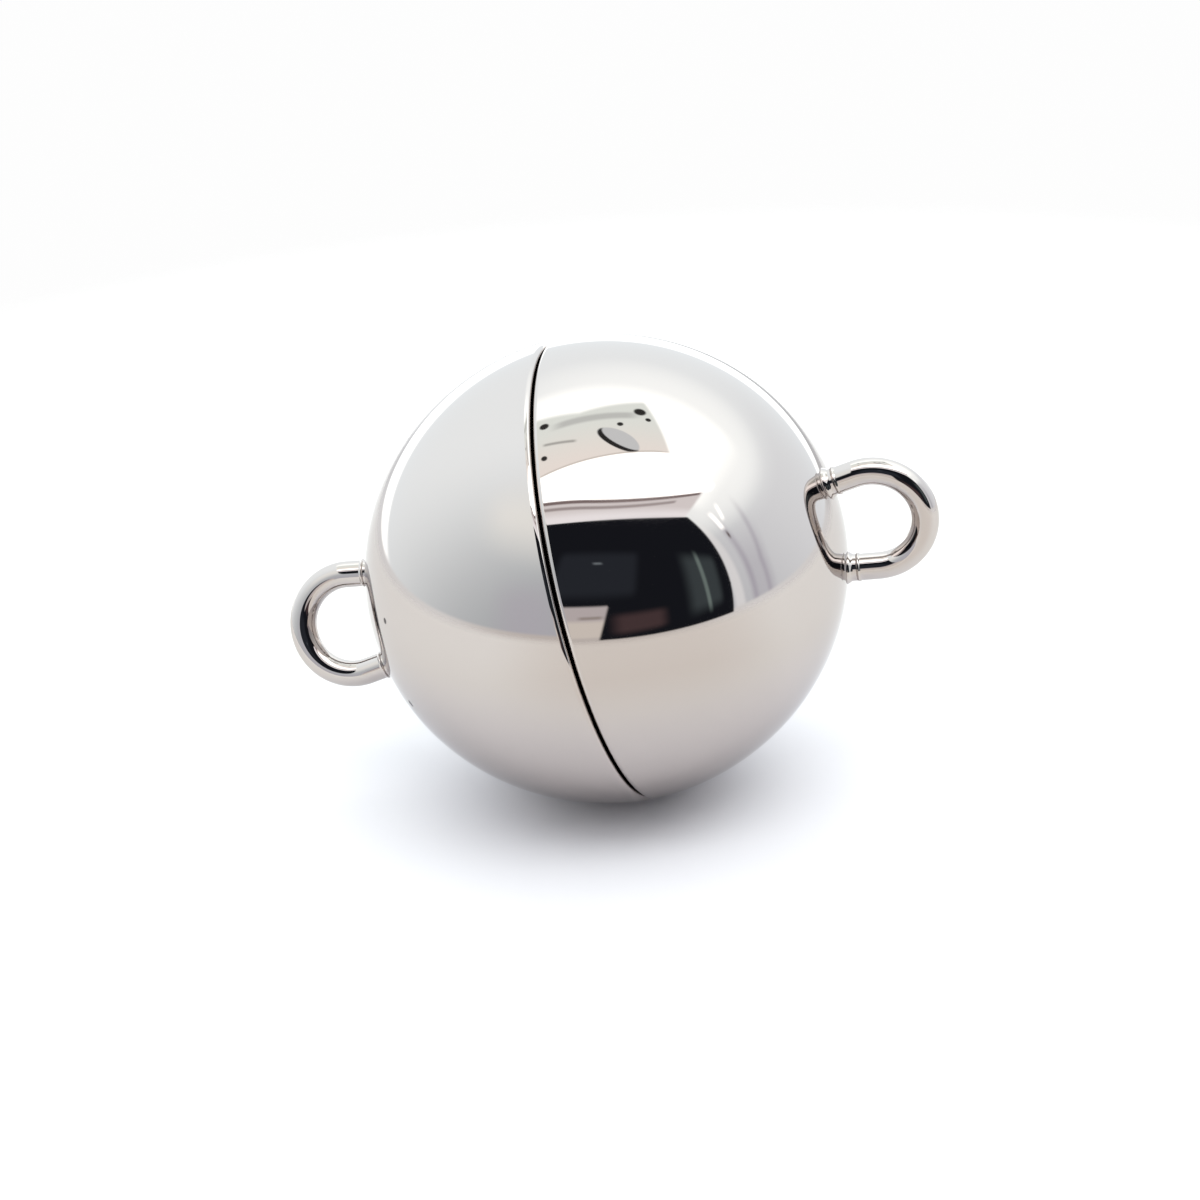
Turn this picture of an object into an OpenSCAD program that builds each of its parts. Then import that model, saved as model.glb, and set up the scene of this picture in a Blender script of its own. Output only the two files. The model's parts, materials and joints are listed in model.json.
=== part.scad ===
// A magnetic ball clasp, closed, lying on a table.
// The halves lean in a little from the seam, so the ball rests on its left half and its axis rises to the right.
// X points to the right loop's side, Z is up, and the origin is the ball's centre.
// Each half is built about its own axis, and then leaned over as a whole.
// Sizes are in millimetres and angles in degrees.

/* [Ball] */
// Diameter of the ball over the two rims, at the seam
ball_d = 12; // [10:0.1:16]
// Length of the ball from pole to pole
ball_l = 12.38; // [10.5:0.02:17]
// How far past the seam each half's widest circle would lie, which leans its wall in from the rim
dome_past = 0.15; // [0.05:0.01:0.4]
// Gap between the two rims
seam_gap = 0.1; // [0.05:0.01:0.2]
// Radius that rounds the outer edge of each rim
rim_round = 0.13; // [0.08:0.01:0.25]
// Thickness of each half's domed wall
shell_wall = 0.6; // [0.4:0.05:0.9]

/* [Magnets] */
// Thickness of each magnet
magnet_t = 2.4; // [1.5:0.1:3]
// Least wall between a magnet's pocket and the outside of the ball
pocket_wall = 0.8; // [0.6:0.05:1.2]
// Depth of a magnet's face below its rim
magnet_sink = 0.08; // [0.04:0.01:0.2]
// Clearance between a magnet and its pocket, filled by glue on a real clasp
magnet_clear = 0.05; // [0.03:0.01:0.1]
// Radius that rounds a magnet's edges
magnet_round = 0.2; // [0.1:0.05:0.4]
// Width of the ledge that a magnet's back seats on
ledge_w = 0.5; // [0.3:0.05:0.8]

/* [Loops] */
// Diameter of the loop's wire
wire_d = 0.7; // [0.5:0.05:1]
// Inner diameter of the loop's bow, which is the clear eye
eye_d = 1.92; // [1.6:0.02:2.6]
// Depth of the narrow flat that the bending mandrel leaves inside the bow
mandrel_flat = 0.015; // [0.01:0.005:0.03]
// Distance from the ball's pole out to the centre of the eye
eye_reach = 0.78; // [0.7:0.01:1.4]
// How far each leg of a loop leans in towards the other
leg_lean = 8; // [0:1:14]
// How deep each leg is sunk in the domed wall
leg_sunk = 0.3; // [0.2:0.05:0.4]
// Radius of the solder fillet round each leg
solder_r = 0.14; // [0.08:0.02:0.2]
// Turn of the left loop's plane about the clasp's axis
left_loop_turn = -21; // [-90:1:90]
// Turn of the right loop's plane about the clasp's axis
right_loop_turn = 0; // [-90:1:90]
// How far off centre the right loop is soldered, across its own plane
right_loop_drop = 0.2; // [0:0.05:0.3]

/* [Rest] */
// Lean of the clasp's axis as it lies on its left half
rest_lean = 12.5; // [8:0.5:16]
// Width of the faint flat under the left half, on which the ball lies without rolling
rest_flat = 2; // [1.6:0.1:2.6]

/* [Hidden] */
$fn = 96;

ball_r = ball_d / 2;
pole_x = ball_l / 2;
rim_x = seam_gap / 2;

// Each dome is half of an ellipse turned about the clasp's axis. Its middle lies past the seam.
dome_x = -dome_past;
dome_a = pole_x - dome_x;
dome_r = ball_r / sqrt(1 - pow((rim_x - dome_x) / dome_a, 2));

// Radius of the dome at a distance from the seam's middle plane
function dome_at(x) = dome_r * sqrt(1 - pow((x - dome_x) / dome_a, 2));
// Distance from the seam's middle plane at which the dome has a radius
function dome_end(r) = dome_x + dome_a * sqrt(1 - pow(r / dome_r, 2));

// Height of the ball's centre over the lowest point of the whole dome, and how far the flat cuts into that
rest_height = sqrt(pow(dome_a * sin(rest_lean), 2) + pow(dome_r * cos(rest_lean), 2))
    - dome_past * sin(rest_lean);
flat_depth = pow(rest_flat, 2) / (4 * ball_d);

magnet_x = rim_x + magnet_sink;
pocket_x = magnet_x + magnet_t + magnet_clear;
pocket_r = dome_at(pocket_x) - pocket_wall;
magnet_r = pocket_r - magnet_clear;
hollow_r = pocket_r - ledge_w;

wire_r = wire_d / 2;
bow_r = eye_d / 2 - mandrel_flat + wire_r;
eye_x = pole_x + eye_reach;
bow_half_turn = 90 + leg_lean;
// Height of the nose where a leg meets it, and the leg's length from the bow to its sunk end
foot_r = bow_r * cos(leg_lean) - eye_reach * sin(leg_lean);
foot_x = dome_end(foot_r);
leg_to_ball = (eye_x - foot_x - bow_r * sin(leg_lean)) / cos(leg_lean);
leg_l = leg_to_ball + leg_sunk;

// Half of the dome's section beyond its rim, with its outline drawn in by inset. Its first axis is the radius.
module dome_section(inset = 0) {
    intersection() {
        translate([0, dome_x])
            scale([1, (dome_a - inset) / (dome_r - inset)])
                circle(dome_r - inset);
        translate([0, rim_x])
            square([ball_d, ball_l]);
    }
}

// What the rounding takes off a rim's outer edge
module rim_trim() {
    difference() {
        translate([ball_r - rim_round, 0])
            square([2 * rim_round, rim_x + rim_round]);
        translate([ball_r - rim_round, rim_x + rim_round])
            circle(rim_round);
    }
}

// The polished cup: a domed wall, a pocket for the magnet and the hollow behind its ledge
module cup() {
    rotate([90, 0, 90])
        rotate_extrude()
            difference() {
                dome_section();
                rim_trim();
                square([pocket_r, pocket_x]);
                intersection() {
                    dome_section(shell_wall);
                    square([hollow_r, pole_x]);
                }
            }
}

// One leg of a loop, with the solder fillet that flows up it where it meets the ball
module leg() {
    fillet_r = wire_r + solder_r;
    translate([bow_r, 0, 0])
        rotate([-90, 0, 0])
            rotate_extrude() {
                square([wire_r, leg_l]);
                difference() {
                    translate([0, leg_to_ball - solder_r])
                        square([fillet_r, solder_r + leg_sunk]);
                    translate([fillet_r, leg_to_ball - solder_r])
                        circle(solder_r);
                }
            }
}

// A loop as it stands on the right pole, its eye along Y: the bow, two legs and their solder
module loop() {
    translate([eye_x, 0, 0])
        rotate([90, 0, 0])
            difference() {
                union() {
                    rotate([0, 0, -bow_half_turn])
                        rotate_extrude(angle = 2 * bow_half_turn)
                            translate([bow_r, 0])
                                circle(wire_r);
                    for (side = [0, 1])
                        mirror([0, side, 0])
                            rotate([0, 0, bow_half_turn])
                                leg();
                }
                cylinder(d = eye_d, h = 2 * wire_d, center = true);
            }
}

// A half of the clasp, on the right: its cup with a loop soldered on
module half_shell(loop_turn, loop_drop) {
    cup();
    rotate([loop_turn, 0, 0])
        translate([0, 0, -loop_drop])
            loop();
}

// A disc magnet with rounded edges, in the right cup
module magnet() {
    core_r = magnet_r - magnet_round;
    translate([magnet_x, 0, 0])
        rotate([0, 90, 0])
            rotate_extrude()
                intersection() {
                    union() {
                        square([core_r, magnet_t]);
                        translate([0, magnet_round])
                            square([magnet_r, magnet_t - 2 * magnet_round]);
                        for (edge = [magnet_round, magnet_t - magnet_round])
                            translate([core_r, edge])
                                circle(magnet_round);
                    }
                    square([magnet_r, magnet_t]);
                }
}

// Leans what was built about the clasp's own axis as the clasp lies, its right end up
module leaned() {
    rotate([0, -rest_lean, 0])
        children();
}

// The space under the flat
module under_flat() {
    translate([-ball_d, -ball_d, flat_depth - rest_height - ball_d])
        cube([2 * ball_d, 2 * ball_d, ball_d]);
}

module left_half_shell() {
    color([0.80, 0.80, 0.82])
        difference() {
            leaned()
                mirror([1, 0, 0])
                    half_shell(left_loop_turn, 0);
            under_flat();
        }
}

module right_half_shell() {
    color([0.84, 0.83, 0.84])
        leaned()
            half_shell(right_loop_turn, right_loop_drop);
}

module left_magnet() {
    color([0.55, 0.56, 0.58])
        leaned()
            mirror([1, 0, 0])
                magnet();
}

module right_magnet() {
    color([0.50, 0.51, 0.54])
        leaned()
            magnet();
}

left_half_shell();
right_half_shell();
left_magnet();
right_magnet();
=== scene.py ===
# %% [markdown]
# # A magnetic ball clasp
# The clasp of a necklace: a mirror-polished ball, 12 mm across, that comes apart in the middle. Each half
# is a cup with a wire loop soldered to its end and a disc magnet inside, and the magnets hold the halves
# together. The exact solids come from the CAD model. This script gives each polished half a smoother
# skin, gives everything its finish, and sets up a pale studio for the ball to mirror.

# %% Tools
import json
import math

import bpy
import numpy as np
from mathutils import Matrix, Vector


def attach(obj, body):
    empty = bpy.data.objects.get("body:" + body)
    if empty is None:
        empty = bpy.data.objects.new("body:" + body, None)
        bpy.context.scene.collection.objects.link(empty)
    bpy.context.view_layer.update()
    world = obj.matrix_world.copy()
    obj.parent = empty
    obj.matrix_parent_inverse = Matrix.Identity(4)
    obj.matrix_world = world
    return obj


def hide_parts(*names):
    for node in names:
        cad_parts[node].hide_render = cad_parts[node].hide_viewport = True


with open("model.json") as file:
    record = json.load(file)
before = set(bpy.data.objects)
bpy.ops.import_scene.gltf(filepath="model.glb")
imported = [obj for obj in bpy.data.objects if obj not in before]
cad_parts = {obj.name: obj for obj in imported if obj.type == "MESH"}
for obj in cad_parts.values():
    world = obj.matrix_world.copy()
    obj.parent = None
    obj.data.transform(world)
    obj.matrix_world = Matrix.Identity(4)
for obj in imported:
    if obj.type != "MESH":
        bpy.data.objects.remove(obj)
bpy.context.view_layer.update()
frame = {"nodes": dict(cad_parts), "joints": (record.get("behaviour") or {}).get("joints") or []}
print("CAD nodes:", sorted(frame["nodes"]))

# %% [markdown]
# ## The way the clasp lies
# A ball clasp is a little narrower away from its seam, so it comes to rest on one half, with its own axis
# leaning. The slide joint of the CAD model runs along that axis. Reading the lean from the joint keeps
# this script true to the CAD model, and every part below is then built level, about the clasp's own axis,
# and leaned once at the end.

# %% The clasp's axis
MM = 0.001
axis = Vector(frame["joints"][0]["axis"]).normalized()
LEAN = math.atan2(axis.z, axis.x)
leaned = Matrix.Rotation(-LEAN, 4, "Y")
print(f"the axis leans by {math.degrees(LEAN):.1f} degrees")

# %% [markdown]
# ## Sizes
# These are the clasp's sizes in millimetres, the same ones that the CAD model is built from. The dome of
# each half is part of an ellipse turned about the axis. Its widest circle would lie past the seam, so the
# two walls meet there in a very slight ridge, which breaks the reflections that cross it. Only the gap
# between the rims is drawn narrower than in the CAD model, 0.06 mm instead of 0.1 mm. That is what the
# photo shows, but the CAD solids have to stay clear of each other.

# %% Sizes of the ball
BALL_D = 12.0
BALL_L = 12.38
DOME_PAST = 0.15
SEAM_GAP = 0.1
SEEN_GAP = 0.06
RIM_ROUND = 0.13
SHELL_WALL = 0.6

POLE_X = BALL_L / 2
RIM_X = SEAM_GAP / 2
DOME_X = -DOME_PAST
DOME_A = POLE_X - DOME_X
DOME_R = BALL_D / 2 / math.sqrt(1 - ((RIM_X - DOME_X) / DOME_A) ** 2)
print(f"dome: {DOME_A:.3f} mm long, {DOME_R:.3f} mm in radius")

# %% The faint flat that it rests on
REST_FLAT = 2.0
REST_HEIGHT = math.hypot(DOME_A * math.sin(LEAN), DOME_R * math.cos(LEAN)) - DOME_PAST * math.sin(LEAN)
FLAT_Z = REST_FLAT**2 / (4 * BALL_D) - REST_HEIGHT
print(f"the flat lies {-FLAT_Z:.3f} mm below the middle of the ball")

# %% Sizes of the pocket and the magnet
MAGNET_T = 2.4
POCKET_WALL = 0.8
MAGNET_SINK = 0.08
MAGNET_CLEAR = 0.05
LEDGE_W = 0.5


def dome_at(x):
    return DOME_R * math.sqrt(1 - ((x - DOME_X) / DOME_A) ** 2)


POCKET_X = RIM_X + MAGNET_SINK + MAGNET_T + MAGNET_CLEAR
POCKET_R = dome_at(POCKET_X) - POCKET_WALL
HOLLOW_R = POCKET_R - LEDGE_W
print(f"pocket: {POCKET_R:.2f} mm in radius, {POCKET_X:.2f} mm deep")

# %% Sizes of the loops
WIRE_D = 0.7
EYE_D = 1.92
MANDREL_FLAT = 0.015
EYE_REACH = 0.78
LEG_LEAN = math.radians(8)
LEFT_LOOP_TURN = math.radians(-21)
RIGHT_LOOP_DROP = 0.2

WIRE_R = WIRE_D / 2
BOW_R = EYE_D / 2 - MANDREL_FLAT + WIRE_R
EYE_X = POLE_X + EYE_REACH
print(f"loop: {2 * (BOW_R + WIRE_R):.2f} mm across")

# %% [markdown]
# ## A polished half
# A mirror shows every facet, so the skin of the ball can't be a coarse mesh. The real cup is turned on a
# lathe, and so is this one: its section is drawn as a row of points, each with the exact direction in
# which the surface faces there, and the row is turned about the axis in small steps. Blender would guess
# those directions from the faces and bend the reflections near an edge. Given as custom normals, they
# stay true.

# %% A section drawn as points with normals
CUT, DOME_STEPS, RIM_STEPS = 256, 150, 14


def arc(centre, radius, start, end, steps, hollow=False):
    """Points round a centre between two angles, in degrees from the axis. A hollow one faces its centre."""
    turn = np.radians(np.linspace(start, end, steps + 1))
    facing = np.stack([np.cos(turn), np.sin(turn)], 1)
    return np.hstack([np.array(centre) + radius * facing, -facing if hollow else facing])


def oval(along, across, start, end, steps, hollow=False):
    """The same on the dome's ellipse, whose two half lengths are given."""
    turn = np.linspace(start, end, steps + 1)
    points = np.stack([DOME_X + along * np.cos(turn), across * np.sin(turn)], 1)
    facing = np.stack([np.cos(turn) / along, np.sin(turn) / across], 1)
    facing /= np.linalg.norm(facing, axis=1)[:, None]
    return np.hstack([points, -facing if hollow else facing])


# %% The section of a cup
def tangent_turn():
    """Where round the ellipse the rim's rounding leaves the dome without a kink."""
    turn = math.pi / 2
    for _ in range(20):
        facing = Vector((math.cos(turn) / DOME_A, math.sin(turn) / DOME_R)).normalized()
        turn = math.acos((SEEN_GAP / 2 + RIM_ROUND * (1 + facing.x) - DOME_X) / DOME_A)
    return turn, facing


rim_turn, rim_facing = tangent_turn()
rim_start = math.degrees(math.atan2(rim_facing.y, rim_facing.x))
rim_centre = (SEEN_GAP / 2 + RIM_ROUND, DOME_R * math.sin(rim_turn) - RIM_ROUND * rim_facing.y)
POCKET_EDGE = 0.06
inner_a, inner_r = DOME_A - SHELL_WALL, DOME_R - SHELL_WALL
hollow_turn = math.asin(HOLLOW_R / inner_r)

cup_section = np.vstack(
    [
        oval(DOME_A, DOME_R, 0, rim_turn, DOME_STEPS),
        arc(rim_centre, RIM_ROUND, rim_start, 180, RIM_STEPS)[1:],
        arc((SEEN_GAP / 2 + POCKET_EDGE, POCKET_R + POCKET_EDGE), POCKET_EDGE, 180, 270, 6),
        arc((POCKET_X - POCKET_EDGE, POCKET_R - POCKET_EDGE), POCKET_EDGE, 90, 0, 4, hollow=True),
        arc((POCKET_X + POCKET_EDGE, HOLLOW_R + POCKET_EDGE), POCKET_EDGE, 180, 270, 4),
        oval(inner_a, inner_r, hollow_turn, 0, 20, hollow=True),
    ]
)
print(f"section of a cup: {len(cup_section)} points")


# %% A mesh put together from several skins
class Skin:
    """Vertices, their normals and faces, gathered piece by piece about the clasp's own axis."""

    def __init__(self):
        self.points, self.normals, self.faces = [], [], []
        self.count = 0

    def add(self, points, normals, faces):
        self.points.append(np.asarray(points, float))
        self.normals.append(np.asarray(normals, float))
        self.faces += [[self.count + i for i in face] for face in faces]
        self.count += len(points)

    def add_rings(self, rings, normals, first_cap, last_cap):
        """Closed rings of points joined in a row, with a point in the middle of each end."""
        several, around = rings.shape[:2]
        points = np.vstack([rings.reshape(-1, 3), first_cap[0], last_cap[0]])
        facing = np.vstack([normals.reshape(-1, 3), first_cap[1], last_cap[1]])
        start, end = several * around, several * around + 1
        last = (several - 1) * around
        faces = [
            [ring + i, ring + (i + 1) % around, ring + around + (i + 1) % around, ring + around + i]
            for ring in range(0, last, around)
            for i in range(around)
        ]
        faces += [[start, (i + 1) % around, i] for i in range(around)]
        faces += [[end, last + i, last + (i + 1) % around] for i in range(around)]
        self.add(points, facing, faces)


# %% The cup on the lathe
def turn_cup(skin):
    """The right half's cup, its section turned about the X axis."""
    turn = np.linspace(0, 2 * math.pi, CUT, endpoint=False)
    section = cup_section[1:-1]
    rings, normals = (
        np.stack(
            [
                np.repeat(along[:, None], CUT, 1),
                across[:, None] * np.cos(turn),
                across[:, None] * np.sin(turn),
            ],
            2,
        )
        for along, across in ((section[:, 0], section[:, 1]), (section[:, 2], section[:, 3]))
    )
    first, last = cup_section[0], cup_section[-1]
    skin.add_rings(
        rings,
        normals,
        ([[first[0], 0, 0]], [[1, 0, 0]]),
        ([[last[0], 0, 0]], [[-1, 0, 0]]),
    )


print(f"a cup has {CUT * (len(cup_section) - 2) + 2} points")


# %% [markdown]
# ## A loop and its solder
# The loop is wire bent round a mandrel, with its two legs leaning in a little and soldered to the ball. A
# tube swept along that path is the natural way to make it. The solder is harder: it swells out of the
# wire into a small bead that stands on the ball all the way round, although the ball curves away beneath
# it. So each line along the leg is followed down to where it would meet the ball, and the bead is built
# up from there. A little above the bead a thin lip of solder rings the leg.

# %% Meeting the ball
# The bead and the lip stand out by W and are L long. The tube's end is sunk a little in the ball.
BEAD_W, BEAD_L = 0.07, 0.14
LIP_W, LIP_L, LIP_ABOVE_BEAD = 0.03, 0.12, 0.16
SUNK = 0.03
AROUND, BOW_STEPS, LIP_STEPS, BEAD_STEPS = 48, 120, 8, 11


def of_length_one(vectors):
    return vectors / np.linalg.norm(vectors, axis=1)[:, None]


def down_to_ball(point, way):
    """How far a point travels along a direction until it meets the right dome."""
    scale = np.array([1 / DOME_A, 1 / DOME_R, 1 / DOME_R])
    p, d = (point - np.array([DOME_X, 0, 0])) * scale, way * scale
    a, b, c = (d * d).sum(-1), 2 * (p * d).sum(-1), (p * p).sum(-1) - 1
    return (-b - np.sqrt(b * b - 4 * a * c)) / (2 * a)


print(f"each leg ends in a bead {BEAD_L} mm high that stands out by {BEAD_W} mm")


# %% One leg, from the bow down into the solder
def leg(foot, down, out, side):
    """Rings of a leg and their normals. The bow ends at foot, and out and side span the wire's section."""
    turn = np.linspace(0, 2 * math.pi, AROUND, endpoint=False)[:, None]
    round_wire = np.cos(turn) * out + np.sin(turn) * side
    wall = foot + WIRE_R * round_wire
    reach = down_to_ball(wall, down)
    corner = wall + reach[:, None] * down
    rise = corner - BEAD_L * down
    spread = corner + BEAD_W * round_wire
    spread = spread + down_to_ball(spread - down, down)[:, None] * down - down
    fall = spread - BEAD_W * round_wire - rise
    lip_at = reach.min() - BEAD_L - LIP_ABOVE_BEAD
    rings = [wall + share * lip_at * down for share in (0.3, 0.6, 0.85)]
    normals = [round_wire] * len(rings)
    for t in np.linspace(0, 1, LIP_STEPS + 1):
        swell = math.sin(math.pi * t) ** 2
        steepness = LIP_W * math.pi * math.sin(2 * math.pi * t)
        rings.append(wall + (lip_at + LIP_L * t) * down + LIP_W * swell * round_wire)
        normals.append(of_length_one(LIP_L * round_wire - steepness * down))
    for t in np.linspace(0, 1, BEAD_STEPS + 1):
        swell = math.sin(math.pi * t / 2) ** 2
        steepness = BEAD_W * math.pi / 2 * math.sin(math.pi * t)
        rings.append(rise + t * fall + BEAD_W * swell * round_wire)
        normals.append(of_length_one((fall @ down)[:, None] * round_wire - steepness * down))
    return rings + [spread + SUNK * down], normals + [round_wire]


# %% The whole loop
CAP_DEPTH = 0.05


def bend_loop(skin, turned, drop):
    """The right half's loop: bow and legs as one tube, turned about the axis and set off centre."""
    place = np.array(Matrix.Rotation(turned, 3, "X"))
    shift = place @ np.array([0, 0, -drop])
    half_turn = math.pi / 2 + LEG_LEAN
    side = place @ np.array([0, 1, 0])
    ends, bows, facings = [], [], []
    wire = np.linspace(0, 2 * math.pi, AROUND, endpoint=False)[:, None]
    for at in np.linspace(-half_turn, half_turn, BOW_STEPS + 1):
        out = place @ np.array([math.cos(at), 0, math.sin(at)])
        middle = place @ np.array([EYE_X, 0, 0]) + BOW_R * out + shift
        round_wire = np.cos(wire) * out + np.sin(wire) * side
        bows.append(middle + WIRE_R * round_wire)
        facings.append(round_wire)
        if abs(at) == half_turn:
            along = place @ np.array([-math.sin(at), 0, math.cos(at)]) * (1 if at > 0 else -1)
            ends.append(leg(middle, along, out, side))
    (low_rings, low_normals), (high_rings, high_normals) = ends
    rings = np.array(low_rings[::-1] + bows + high_rings)
    normals = np.array(low_normals[::-1] + facings + high_normals)
    caps = [([ring.mean(0) - [CAP_DEPTH, 0, 0]], [[-1, 0, 0]]) for ring in (rings[0], rings[-1])]
    skin.add_rings(rings[:, ::-1], normals[:, ::-1], *caps)


# %% [markdown]
# ## Both halves
# The left half is the right one mirrored, with its loop turned on the axis, because the halves spin
# freely on each other. What would lie under the faint flat is pressed up to it, as in the CAD model. Each
# half takes the place of its CAD solid and rides on that solid's body, so the pulled-apart pose moves it.

# %% Building a half
def make_half(name, mirrored, turned, drop):
    skin = Skin()
    turn_cup(skin)
    bend_loop(skin, turned, drop)
    points, normals = np.vstack(skin.points) * MM, np.vstack(skin.normals)
    faces = skin.faces
    if mirrored:
        points[:, 0] *= -1
        normals[:, 0] *= -1
    else:
        faces = [face[::-1] for face in faces]
    lean = np.array(leaned.to_3x3())
    points, normals = points @ lean.T, normals @ lean.T
    under = points[:, 2] < FLAT_Z * MM
    points[under, 2], normals[under] = FLAT_Z * MM, (0, 0, -1)
    mesh = bpy.data.meshes.new(name)
    mesh.from_pydata(points.tolist(), [], faces)
    mesh.polygons.foreach_set("use_smooth", [True] * len(mesh.polygons))
    mesh.normals_split_custom_set_from_vertices(normals.tolist())
    mesh.update()
    obj = bpy.data.objects.new(name, mesh)
    bpy.context.scene.collection.objects.link(obj)
    print(f"{name}: {len(points)} vertices, {len(faces)} faces")
    return obj


left_half = make_half("left_half_polished", True, LEFT_LOOP_TURN, 0.0)
right_half = make_half("right_half_polished", False, 0.0, RIGHT_LOOP_DROP)

# %% Standing in for the CAD solids
for half, body, node in (
    (left_half, "left_half", "left_half_shell"),
    (right_half, "right_half", "right_half_shell"),
):
    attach(half, body)
    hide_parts(node)
left_magnet, right_magnet = (frame["nodes"][n] for n in ("left_magnet", "right_magnet"))
print("the polished halves replace both CAD shells")

# %% [markdown]
# ## Finishes as arithmetic
# A finish is a little program of shader nodes. Written as Python expressions it reads like the sum it is:
# one small class stands for a node's output, and its operators add the Math nodes. Any other node comes
# from one call that takes its type, its settings and its inputs.

# %% A node's output with operators
class Signal:
    """An output socket. Adding, multiplying and so on makes the Math node that does it."""

    def __init__(self, bench, socket):
        self.bench, self.socket = bench, socket

    def __add__(self, other):
        return self.bench.sum_of("ADD", self, other)

    def __sub__(self, other):
        return self.bench.sum_of("SUBTRACT", self, other)

    def __rsub__(self, other):
        return self.bench.sum_of("SUBTRACT", other, self)

    def __mul__(self, other):
        return self.bench.sum_of("MULTIPLY", self, other)

    def __truediv__(self, other):
        return self.bench.sum_of("DIVIDE", self, other)

    def __gt__(self, other):
        return self.bench.sum_of("GREATER_THAN", self, other)

    def __neg__(self):
        return self * -1

    __radd__, __rmul__ = __add__, __mul__


# %% The bench where nodes are made
class Bench:
    """A node tree, emptied and ready for new nodes."""

    def __init__(self, tree):
        self.tree = tree
        tree.nodes.clear()

    def node(self, kind, settings=None, inputs=None):
        made = self.tree.nodes.new(kind)
        for key, value in (settings or {}).items():
            setattr(made, key, value)
        for key, value in (inputs or {}).items():
            if isinstance(value, Signal):
                self.tree.links.new(value.socket, made.inputs[key])
            else:
                made.inputs[key].default_value = value
        return made

    def signal(self, kind, output, settings=None, inputs=None):
        return Signal(self, self.node(kind, settings, inputs).outputs[output])

    def sum_of(self, operation, a, b=0.0):
        return self.signal("ShaderNodeMath", 0, {"operation": operation}, {0: a, 1: b})

    def ease(self, value, low, high):
        """0 at low and 1 at high, with a soft step between them. Low may also be the greater one."""
        return self.signal(
            "ShaderNodeMapRange",
            0,
            {"interpolation_type": "SMOOTHSTEP"},
            {"Value": value, "From Min": low, "From Max": high},
        )

    def blend(self, share, a, b):
        """Colour a where share is 0, and colour b where it is 1."""
        return self.signal(
            "ShaderNodeMix", 2, {"data_type": "RGBA", "clamp_factor": True}, {0: share, 6: a, 7: b}
        )

    def split(self, vector):
        node = self.node("ShaderNodeSeparateXYZ", None, {0: vector})
        return [Signal(self, node.outputs[i]) for i in range(3)]


def new_finish(name):
    finish = bpy.data.materials.new(name)
    finish.use_nodes = True
    return finish, Bench(finish.node_tree)


# %% [markdown]
# ## Polished white metal
# Cast and plated findings are buffed to a mirror on a wheel. What tells them from a computer's perfect
# mirror is slight: the buffing leaves the surface a few thousandths of a millimetre wavy, hairlines dull
# it a little, and the plating has a tiny pit here and there. The waves go to the normal through one Bump
# node. The hairlines are too fine to draw one by one, so they only roughen the metal in patches. The pits
# darken the colour and roughen it. Most of them are random, and two larger specks beside the left loop
# have their own places.

# %% The polish
POLISHED, PITTED = (0.52, 0.475, 0.455, 1), (0.09, 0.08, 0.075, 1)
SPECKS = (((-4.72, -3.17, -2.23), 0.13), ((-5.13, -3.31, 0.14), 0.1))

finish, bench = new_finish("polished white metal")
here = bench.signal("ShaderNodeTexCoord", "Object")
waves = bench.signal("ShaderNodeTexNoise", "Fac", None, {"Vector": here, "Scale": 420.0, "Detail": 1.0})
cells = bench.node("ShaderNodeTexVoronoi", None, {"Vector": here, "Scale": 330.0})
pit_size = bench.signal("ShaderNodeSeparateColor", 0, None, {0: Signal(bench, cells.outputs["Color"])})
near_pit = Signal(bench, cells.outputs["Distance"])
pits = (1 - bench.ease(near_pit, 0.012, 0.02)) * (pit_size > 0.72)
for place, size in SPECKS:
    ends = {0: here, 1: Vector(place) * MM}
    away = bench.signal("ShaderNodeVectorMath", "Value", {"operation": "DISTANCE"}, ends)
    pits = pits + bench.ease(away, size * MM, 0.6 * size * MM)
smear = bench.signal("ShaderNodeTexNoise", "Fac", None, {"Vector": here, "Scale": 260.0, "Detail": 3.0})
bump = bench.signal("ShaderNodeBump", 0, None, {"Strength": 0.35, "Distance": 0.000012, "Height": waves})
metal = bench.node(
    "ShaderNodeBsdfPrincipled",
    None,
    {
        "Base Color": bench.blend(pits, POLISHED, PITTED),
        "Metallic": 1.0,
        "Specular Tint": (0.85, 0.85, 0.86, 1),
        "Roughness": 0.025 + 0.03 * bench.ease(smear, 0.5, 0.8) + 0.3 * pits,
        "Normal": bump,
    },
)
bench.node("ShaderNodeOutputMaterial", None, {"Surface": Signal(bench, metal.outputs[0])})
for half in (left_half, right_half):
    half.data.materials.append(finish)
print("finish:", finish.name)

# %% [markdown]
# ## Magnets
# The magnets show only when the clasp is open. Neodymium discs are plated with nickel, which is a little
# yellower than the ball and satin instead of mirror-bright.

# %% Nickel plating
finish, bench = new_finish("satin nickel")
here = bench.signal("ShaderNodeTexCoord", "Object")
grain = bench.signal("ShaderNodeTexNoise", "Fac", None, {"Vector": here, "Scale": 3500.0, "Detail": 2.0})
nickel = bench.node(
    "ShaderNodeBsdfPrincipled",
    None,
    {"Base Color": (0.5, 0.475, 0.43, 1), "Metallic": 1.0, "Roughness": 0.22 + 0.16 * grain},
)
bench.node("ShaderNodeOutputMaterial", None, {"Surface": Signal(bench, nickel.outputs[0])})
for magnet in (left_magnet, right_magnet):
    magnet.data.materials.clear()
    magnet.data.materials.append(finish)
print("finish:", finish.name)
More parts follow.
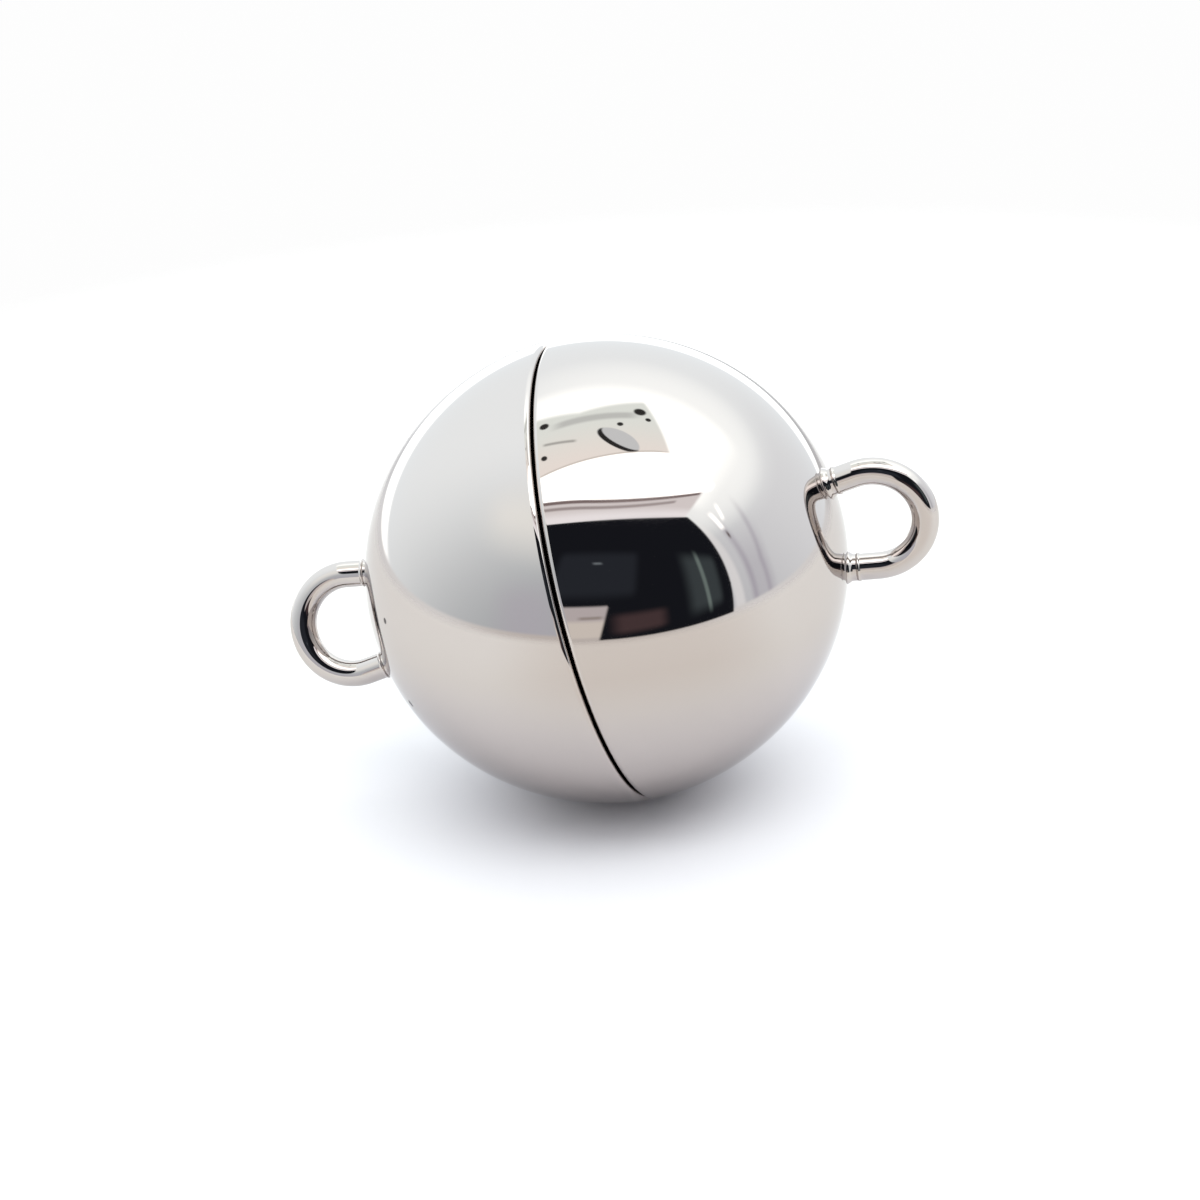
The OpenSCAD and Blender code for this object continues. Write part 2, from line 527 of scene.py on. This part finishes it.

# %% [markdown]
# ## The floor
# The ball lies on a round sheet of white paper. A square mesh is enough for it, because its finish fades
# out in a circle. The ball mirrors the sheet's edge as a soft line across its middle. To the camera the
# sheet melts into the white background, so its edge is soft too. The paper's colour carries painted
# light and shade. It is painted a little darker and warmer on the camera's side, where less light falls,
# and painted paler and slightly violet close round the ball, which lightens and tints its contact shadow.

# %% A sheet of paper
SHEET_R = 48.0
corners = [(-1, -1), (1, -1), (1, 1), (-1, 1)]
mesh = bpy.data.meshes.new("paper")
mesh.from_pydata([(x * SHEET_R * MM, y * SHEET_R * MM, FLAT_Z * MM) for x, y in corners], [], [(0, 1, 2, 3)])
paper = bpy.data.objects.new("paper", mesh)
bpy.context.scene.collection.objects.link(paper)
print(f"the paper is {2 * SHEET_R:.0f} mm across")

# %% Paper white
# The first colour is painted light, paler and slightly violet, that lightens and tints the ball's contact
# shadow; the last is painted shade on the camera's side.
PAINTED_LIGHT_UNDER_BALL, PAPER, PAINTED_SHADE_TOWARDS_CAMERA = (0.92, 0.9, 0.93, 1), (0.88, 0.85, 0.83, 1), (0.77, 0.71, 0.67, 1)

finish, bench = new_finish("paper white")
x, y, _ = bench.split(bench.signal("ShaderNodeTexCoord", "Object"))
from_middle = bench.sum_of("SQRT", x * x + y * y)
edge = bench.ease(from_middle, 0.7 * SHEET_R * MM, 0.99 * SHEET_R * MM)
# Painted light: the paper is paler and slightly violet within 5 to 14 mm of the ball, where its contact
# shadow falls.
shade = bench.blend(bench.ease(from_middle, 5 * MM, 14 * MM), PAINTED_LIGHT_UNDER_BALL, PAPER)
# Painted shade: from 5 mm out, the paper's colour turns darker and warmer towards the camera.
to_camera = (x * 0.35 - y * 0.94) / bench.sum_of("MAXIMUM", from_middle, MM)
painted_shade_in_front = bench.ease(to_camera, 0.4, 1.0) * bench.ease(from_middle, 5 * MM, 17 * MM)
shade = bench.blend(painted_shade_in_front, shade, PAINTED_SHADE_TOWARDS_CAMERA)
white = bench.signal("ShaderNodeBsdfDiffuse", 0, None, {"Color": shade})
clear = bench.signal("ShaderNodeBsdfTransparent", 0)
sheet = bench.signal("ShaderNodeMixShader", 0, None, {0: edge, 1: white, 2: clear})
bench.node("ShaderNodeOutputMaterial", None, {"Surface": sheet})
paper.data.materials.append(finish)
print("finish:", finish.name)

# %% [markdown]
# ## The room
# A mirror looks like whatever stands around it, so the room matters more than the metal. It is painted on
# the sky by direction: pale walls, a bright strip low behind the clasp, a lit ceiling, and a dark panel
# where the camera stands. Two flat maps make that easy. One is the ceiling, seen from below, and the
# other is the wall behind the camera. The camera itself sees plain white.

# %% Directions as numbers
world = bpy.data.worlds.new("pale room")
bpy.context.scene.world = world
world.use_nodes = True
bench = Bench(world.node_tree)
x, y, z = bench.split(bench.signal("ShaderNodeTexCoord", "Generated"))


def over(value, limit, soft):
    """1 above the limit and 0 below it, with a soft edge."""
    return bench.ease(value, limit - soft, limit + soft)


def below(value, limit, soft):
    """0 above the limit and 1 below it."""
    return bench.ease(value, limit + soft, limit - soft)


def window(value, low, high, soft):
    """1 between two limits and 0 outside them."""
    return over(value, low, soft) * below(value, high, soft)


NEAR_ZERO = 0.001
forward, up = bench.sum_of("MAXIMUM", -y, NEAR_ZERO), bench.sum_of("MAXIMUM", z, NEAR_ZERO)
wall_u, wall_v = x / forward, z / forward
roof_u, roof_v = x / up, y / up
ahead, above = bench.ease(-y, 0.02, 0.04), bench.ease(z, 0.2, 0.3)


def count_nodes(painted):
    print(f"{painted}: {len(world.node_tree.nodes)} nodes in the room so far")


count_nodes("directions")

# %% [markdown]
# The seam cuts off whatever the two halves mirror at their rims. The lights and the panel start just
# there, at one distance along the clasp's own axis, so only the right half mirrors them.

# %% Where the right half starts to look
SEAM_VIEW = -0.285
along = x * axis.x + z * axis.z
right_side = over(along, SEAM_VIEW, 0.006)
overhead = above * right_side
print("the right half mirrors the lights from", SEAM_VIEW, "along the axis")

# %% [markdown]
# ## Walls and what lies behind
# Every patch of the room is made in the same two steps: a mask of soft windows, and the room mixed
# towards the patch's colour by that mask. The walls get brighter upwards and to the back, and turn a
# little cooler on the right and violet low on the left. Far behind, a bright window shines, and the table
# goes on past the paper. Its far corners are duller, but not right behind the clasp, whose top edge would
# mirror them as a grey line.

# %% Walls
rise = bench.ease(y * 0.45 + z * 0.35, -0.47, 0.38)
room = bench.blend(rise, (0.72, 0.8, 0.85, 1), (1.5, 1.64, 1.7, 1))
right_wall = bench.ease(x, 0.1, 0.95) * below(z, 0.42, 0.14)
room = bench.blend(right_wall * 0.42, room, (0.92, 0.96, 1.06, 1))
violet_left = window(wall_u, -0.95, -0.28, 0.3) * window(wall_v, -0.4, 0.25, 0.2) * ahead
room = bench.blend(violet_left * 0.6, room, (0.76, 0.76, 0.88, 1))
warm_glow = window(x, -0.8, -0.3, 0.15) * window(z, 0.5, 0.8, 0.2) * over(-y, 0.3, 0.2)
room = bench.blend(warm_glow * 0.6, room, (1.62, 1.66, 1.58, 1))
count_nodes("walls")

# %% Folds of cloth, and a strip of light between them and the panel
beside = over(x, 0.5, 0.1) * below(z, 0.52, 0.08)
curtain = y + z * 0.1
right_fold = curtain - bench.sum_of("MAXIMUM", z - 0.1, 0.0) * 0.22
cloth = over(curtain, -0.26, 0.04) * below(right_fold, -0.03, 0.04) * below(z, 0.25, 0.2)
folds = window(curtain, -0.26, -0.22, 0.03) + window(right_fold, -0.11, -0.08, 0.03)
room = bench.blend((cloth * 0.35 + folds * 0.6) * beside, room, (0.66, 0.66, 0.78, 1))
light_strip = window(curtain, -0.42, -0.34, 0.02)
room = bench.blend(light_strip * beside * 0.7, room, (1.36, 1.42, 1.46, 1))
count_nodes("folds of cloth")

# %% The bright window far behind
strip_top = 0.15 - (x + 0.2) * (x + 0.2) * 0.58
far_strip = below(z - strip_top, 0.0, 0.03) * bench.ease(y, 0.3, 0.6)
room = bench.blend(far_strip, room, (2.6, 2.75, 2.75, 1))
count_nodes("bright window")

# %% The table past the paper
far_table = bench.blend(bench.ease(-y, 0.2, 1.0), (1.2, 1.24, 1.26, 1), (0.88, 0.85, 0.82, 1))
aside = bench.sum_of("ABSOLUTE", x + 0.24)
far_corners = bench.ease(y, 0.75, 0.95) * bench.ease(aside, 0.08, 0.25)
far_table = bench.blend(far_corners, far_table, (0.8, 0.82, 0.84, 1))
low_down = below(z, -0.145, 0.015)
quiet_room = bench.blend(low_down, room, far_table)
count_nodes("table")

# %% [markdown]
# ## The ceiling
# A soft halo of light fills the ceiling over the clasp. In it is a duller hatch with round fittings, a
# beam and a lamp shaped like a leaf. A fitting is a spot on the ceiling map, so its mirror image
# stretches as a real one's would.

# %% Light on the ceiling
CEILING_LIGHT, NEARLY_BLACK = (2.2, 2.36, 2.36, 1), (0.05, 0.05, 0.05, 1)

glow_u = roof_u - 0.6
glow = below(bench.sum_of("SQRT", glow_u * glow_u + roof_v * roof_v), 1.3, 0.55)
room = bench.blend(glow * overhead * 0.4, room, CEILING_LIGHT)
halo_top = 0.62 - roof_u * roof_u * 0.14 + roof_u * 0.16
halo = below(roof_v - halo_top, 0.0, 0.14) * over(roof_v, -0.5, 0.1) * below(roof_u, 1.1, 0.26)
room = bench.blend(halo * overhead, room, CEILING_LIGHT)
count_nodes("light on the ceiling")

# %% The hatch and its beam
hatch_top = bench.sum_of("MAXIMUM", roof_u + 0.14, 0.0) * 0.55 + 0.27
hatch = below(roof_u + roof_v * 0.6, 0.51, 0.02) * below(roof_v - hatch_top, 0.0, 0.03)
hatch = hatch * over(roof_v, -0.35, 0.03)
cooler = bench.ease(roof_v - roof_u * 0.25, -0.25, 0.25)
hatch_shade = bench.blend(cooler, (1.5, 1.46, 1.4, 1), (1.36, 1.5, 1.46, 1))
beam = window(roof_v - roof_u * 0.28, 0.19, 0.26, 0.02) * window(roof_u, -0.28, 0.2, 0.06)
hatch_shade = bench.blend(beam * 0.75, hatch_shade, (0.82, 0.88, 0.88, 1))
room = bench.blend(hatch * overhead, room, hatch_shade)
count_nodes("hatch")


# %% Round fittings
def spot(u, v, size):
    across, down = roof_u - u, roof_v - v
    return 1 - bench.ease(bench.sum_of("SQRT", across * across + down * down), 0.6 * size, size)


FITTINGS = ((0.22, 0.335, 0.05), (0.287, 0.265, 0.025), (0.12, 0.156, 0.025), (-0.36, -0.16, 0.03))
fittings = spot(-0.36, 0.175, 0.04)
for u, v, size in FITTINGS:
    fittings = fittings + spot(u, v, size)
fittings = fittings + window(roof_u, -0.36, -0.14, 0.02) * window(roof_v, -0.04, -0.015, 0.01) * 0.5
room = bench.blend(fittings * overhead, room, NEARLY_BLACK)
print("the ceiling has", len(FITTINGS) + 1, "round fittings")


# %% A lamp like a leaf
def leaf(u, v):
    """1 inside a long oval on the ceiling, turned by a third of a right angle."""
    length = (roof_u - u) * 0.87 - (roof_v - v) * 0.5
    breadth = (roof_u - u) * 0.5 + (roof_v - v) * 0.87
    return below(bench.sum_of("SQRT", length * length * 36 + breadth * breadth * 160), 1.0, 0.06)


lamp = leaf(0.14, 0.0)
room = bench.blend(lamp * overhead, room, (1.02, 1.1, 1.14, 1))
rim_of_lamp = lamp * (1 - leaf(0.165, 0.026))
room = bench.blend(rim_of_lamp * overhead, room, (0.04, 0.04, 0.04, 1))
count_nodes("lamp")

# %% [markdown]
# ## The long light and the panel
# Over the camera hangs a long white light, with a pale ledge under it. Below the ledge stands the dark
# panel, as glossy and black as a window at dusk, with a few dim things in it. It starts where the ledge
# ends, and both follow one curved line, so no gap opens between them.

# %% The long light over the camera
panel_line = roof_u * 0.1 + roof_u * roof_u * 0.11 - 0.93
swept = bench.sum_of("MAXIMUM", roof_u, 0.0)
light_v = roof_v - swept * swept * 0.34
light_top = bench.sum_of("MINIMUM", roof_u * 0.36 - 0.2, 0.2 - roof_u * 0.25)
band = below(roof_v - light_top, 0.0, 0.015) * over(light_v, -0.64, 0.01) * below(roof_u, 1.14, 0.03)
room = bench.blend(band * overhead, room, (3.0, 3.1, 3.1, 1))
brim = window(roof_v - light_top, 0.0, 0.012, 0.01) * window(roof_u, -0.5, 0.5, 0.08)
room = bench.blend(brim * overhead * 0.7, room, (0.5, 0.47, 0.4, 1))
count_nodes("long light")

# %% Two slashes of light and a dark dash at its right end
slashes = window(y, -0.305, -0.27, 0.01) * window(z, 0.43, 0.56, 0.02)
slashes = slashes + window(y - z * 0.37, -0.425, -0.395, 0.01) * window(z, 0.48, 0.58, 0.02)
room = bench.blend(slashes * right_side, room, (2.4, 2.5, 2.5, 1))
dash = window(y, -0.287, -0.27, 0.008) * window(z, 0.35, 0.4, 0.02)
room = bench.blend(dash * right_side, room, (0.25, 0.22, 0.22, 1))
count_nodes("slashes and dash")

# %% The ledge and its dark trim
ledge = over(roof_v - panel_line, 0.0, 0.01) * below(light_v, -0.64, 0.01) * below(roof_u, 1.05, 0.03)
lighter = bench.ease(roof_v - panel_line, 0.05, 0.2)
ledge_shade = bench.blend(lighter, (1.5, 1.52, 1.58, 1), (1.2, 1.18, 1.2, 1))
room = bench.blend(ledge * overhead, room, ledge_shade)
trim = window(light_v, -0.68, -0.64, 0.012) * below(roof_u, 1.03, 0.02)
trim = trim + window(light_v, -0.76, -0.72, 0.015) * below(roof_u, 0.8, 0.02) * 0.7
room = bench.blend(trim * overhead, room, (0.34, 0.27, 0.27, 1))
count_nodes("ledge")

# %% A pale corner below the panel
corner = below(wall_v, 0.14, 0.01) * below(wall_u, 0.2, 0.05) * ahead * right_side
corner_shade = bench.blend(bench.ease(wall_v, 0.02, -0.03), (0.8, 0.76, 0.78, 1), (1.06, 1.02, 0.95, 1))
crease = window(wall_u, -0.07, 0.1, 0.03) * window(wall_v, 0.01, 0.035, 0.01)
corner_shade = bench.blend(crease * 0.8, corner_shade, (0.45, 0.4, 0.37, 1))
room = bench.blend(corner, room, corner_shade)
count_nodes("pale corner")

# %% The dark panel at the camera
panel = below(roof_v - panel_line, 0.0, 0.01) * over(wall_v, 0.118, 0.015)
foot = over(wall_u - wall_v * 0.27, 0.12, 0.015) * below(wall_v, 0.13, 0.02) * over(z, -0.17, 0.008)
dark = (panel + foot) * over(-y, 0.425, 0.008) * right_side
pane = window(wall_u - wall_v * 0.2, -0.35, 0.33, 0.05) * window(wall_v, 0.2, 0.62, 0.06)
shade = bench.blend(pane, (0.013, 0.015, 0.021, 1), (0.031, 0.037, 0.049, 1))
glint = window(wall_u + wall_v * 0.3, 0.2, 0.27, 0.02) * window(wall_v, 0.5, 0.52, 0.012)
shade = bench.blend(glint, shade, (0.25, 0.3, 0.34, 1))
glass = window(wall_u, 1.0, 1.7, 0.12) * window(wall_v, -0.1, 0.6, 0.1)
shade = bench.blend(glass, shade, (0.07, 0.09, 0.1, 1))
gleam = window(wall_u + wall_v * 0.1, 1.3, 1.38, 0.03) * window(wall_v, -0.12, 0.62, 0.1)
shade = bench.blend(gleam, shade, (0.24, 0.32, 0.31, 1))
dusk = window(wall_u, 0.2, 0.64, 0.08) * window(wall_v, -0.13, 0.03, 0.04)
shade = bench.blend(dusk, shade, (0.1, 0.065, 0.07, 1))
room = bench.blend(dark, bench.blend(low_down, room, far_table), shade)
count_nodes("dark panel")

# %% [markdown]
# ## Putting the room on the sky
# Only directions on the right half's side that also look up or forward can meet a light or the panel. All
# others need just the walls and the table. A Mix Shader whose factor is exactly 0 or 1 skips the side
# that it doesn't need, so the room renders faster than as one long sum. A second one gives the camera its
# plain white.

# %% What is seen of it
busy = right_side * (above + ahead) > 0.0
ray = bench.signal("ShaderNodeLightPath", "Is Camera Ray")
quiet, lights, plain = (
    bench.signal("ShaderNodeBackground", 0, None, {"Color": colour})
    for colour in (quiet_room, room, (0.985, 0.985, 0.985, 1))
)
painted = bench.signal("ShaderNodeMixShader", 0, None, {0: busy, 1: quiet, 2: lights})
seen = bench.signal("ShaderNodeMixShader", 0, None, {0: ray, 1: painted, 2: plain})
bench.node("ShaderNodeOutputWorld", None, {"Surface": seen})
count_nodes("whole sky")

# %% [markdown]
# ## The camera
# The picture is taken from close by with a long lens, a little above the table and from the front.
# Distance and lens follow from how strongly the loop in front outgrows the one behind. The angles are
# measured against the clasp's own axis, like the clasp itself, and then leaned with it: on the table the
# camera is nearly level.

# %% Placing the camera
AZIMUTH, ELEVATION, ROLL = (math.radians(a) for a in (14.455, 22.344, -17.656))
DISTANCE = 84.0
AIM_RIGHT, AIM_UP = 0.162, 0.804
LENS, SENSOR = 98.76, 36.0

camera = bpy.data.objects.new("camera", bpy.data.cameras.new("camera"))
camera.data.lens = LENS
camera.data.sensor_width = SENSOR
camera.data.clip_start = 0.001
turned = (
    Matrix.Rotation(AZIMUTH, 4, "Z")
    @ Matrix.Rotation(math.pi / 2 - ELEVATION, 4, "X")
    @ Matrix.Rotation(ROLL, 4, "Z")
)
camera.matrix_world = leaned @ turned @ Matrix.Translation(Vector((-AIM_RIGHT, -AIM_UP, DISTANCE)) * MM)
bpy.context.scene.collection.objects.link(camera)
bpy.context.scene.camera = camera
bpy.context.scene.view_settings.view_transform = "Standard"
print("camera at", [round(c / MM, 2) for c in camera.matrix_world.translation])
